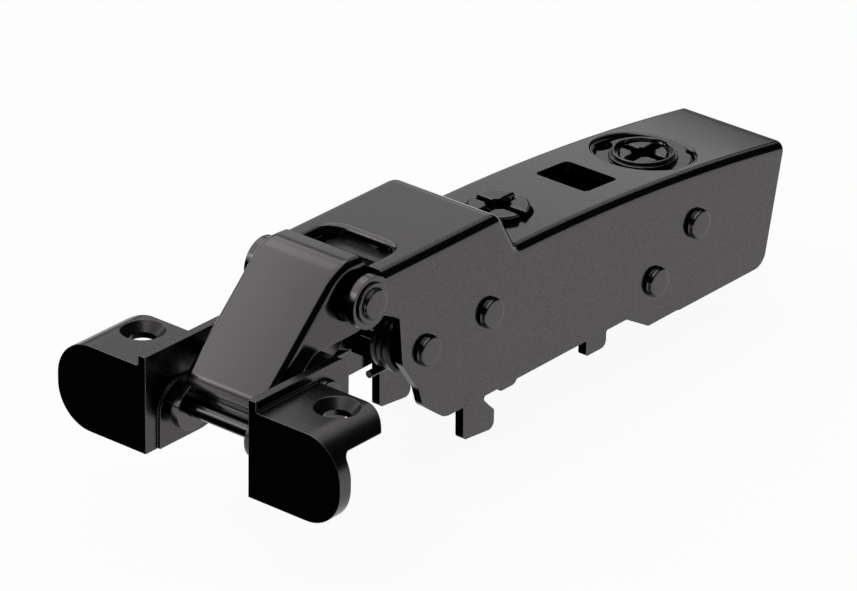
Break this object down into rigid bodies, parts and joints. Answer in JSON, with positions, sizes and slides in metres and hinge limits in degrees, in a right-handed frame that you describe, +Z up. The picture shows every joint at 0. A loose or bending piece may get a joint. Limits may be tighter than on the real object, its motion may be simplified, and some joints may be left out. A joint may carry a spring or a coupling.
{
  "type": "concealed hinge",
  "caption": "Black concealed door hinge with two screw-on feet, a four-bar linkage, an adjustable arm and a clip-on carrier.",
  "frame": {"origin": "midway between the two door screws, on the seat face under the feet's flanges", "axes": "+X from the feet back along the arm, +Y across, +Z up, away from the cabinet side"},
  "size_m": [0.1074, 0.0466, 0.033],
  "materials": {
    "black_coat": "satin",
    "cast_black": "satin",
    "link_black": "gloss",
    "spring_wire": "satin",
    "black_plastic": "matte",
    "piston_steel": "satin"
  },
  "bodies": {
    "arm": {"arm_housing": "black_coat", "outer_link_arm_pin": "black_coat", "inner_link_arm_pin": "black_coat", "front_pin": "black_coat", "lower_rear_pin": "black_coat", "upper_rear_pin": "black_coat", "arm_washer_left": "black_coat", "arm_washer_right": "black_coat", "torsion_spring_left": "spring_wire", "torsion_spring_right": "spring_wire", "spring_bush_left": "black_plastic", "spring_bush_right": "black_plastic", "overlay_bush": "black_coat", "damper_cylinder": "black_plastic"},
    "link": {"outer_link": "link_black"},
    "feet": {"left_foot": "cast_black", "right_foot": "cast_black", "outer_link_foot_pin": "black_coat", "inner_link_foot_pin": "black_coat", "foot_washer_left": "black_coat", "foot_washer_right": "black_coat"},
    "rear_link": {"inner_link": "black_coat"},
    "damper": {"damper_slider": "black_plastic", "damper_rod": "piston_steel"},
    "overlay": {"overlay_screw": "black_coat"},
    "depth": {"depth_screw": "black_coat"},
    "block": {"slide_block": "black_coat"},
    "carrier": {"clip_carrier": "black_coat", "lever_pin": "black_coat"},
    "lever": {"release_lever": "black_coat"}
  },
  "joints": [
    {"name": "link_turn", "type": "hinge", "parent": "arm", "child": "link", "pos_m": [0.0146, 0, 0.0085], "axis": [0, -1, 0], "range_deg": [0, 43.65]},
    {"name": "door_swing", "type": "hinge", "parent": "link", "child": "feet", "pos_m": [-0.0022, 0, -0.0045], "axis": [0, 1, 0], "range_deg": [0, 138.65]},
    {"name": "rear_link_turn", "type": "hinge", "parent": "feet", "child": "rear_link", "pos_m": [0.0047, 0, -0.0007], "axis": [0, -1, 0], "range_deg": [0, 157.22]},
    {"name": "damper_travel", "type": "slide", "parent": "arm", "child": "damper", "axis": [1, 0, 0], "range_m": [0, 0.002]},
    {"name": "overlay_turn", "type": "hinge", "parent": "arm", "child": "overlay", "pos_m": [0.0502, 0, 0.0035], "axis": [0, 0, 1], "range_deg": [-180, 180]},
    {"name": "depth_turn", "type": "hinge", "parent": "arm", "child": "depth", "pos_m": [0.0805, 0, 0.0025], "axis": [0, 0, 1], "range_deg": [-90, 90]},
    {"name": "overlay_tilt", "type": "hinge", "parent": "arm", "child": "block", "pos_m": [0.0808, 0, -0.004], "axis": [0, -1, 0], "range_deg": [-1.2, 1.2]},
    {"name": "depth_travel", "type": "slide", "parent": "block", "child": "carrier", "axis": [1, 0, 0], "range_m": [-0.0015, 0.0015]},
    {"name": "lever_press", "type": "hinge", "parent": "carrier", "child": "lever", "pos_m": [0.0892, 0, -0.0083], "axis": [0, 1, 0], "range_deg": [0, 12], "stiffness_Nm_per_rad": 0.02, "springref_deg": -5.73}
  ],
  "couplings": [
    {"joint": "link_turn", "follows": "door_swing", "ratio": 0.31482},
    {"joint": "rear_link_turn", "follows": "door_swing", "ratio": 1.1339},
    {"joint": "damper_travel", "follows": "door_swing", "m_per_rad": 0.00082647},
    {"joint": "overlay_turn", "follows": "overlay_tilt", "ratio": 149.99},
    {"joint": "depth_turn", "follows": "depth_travel", "rad_per_m": 1047.2}
  ]
}
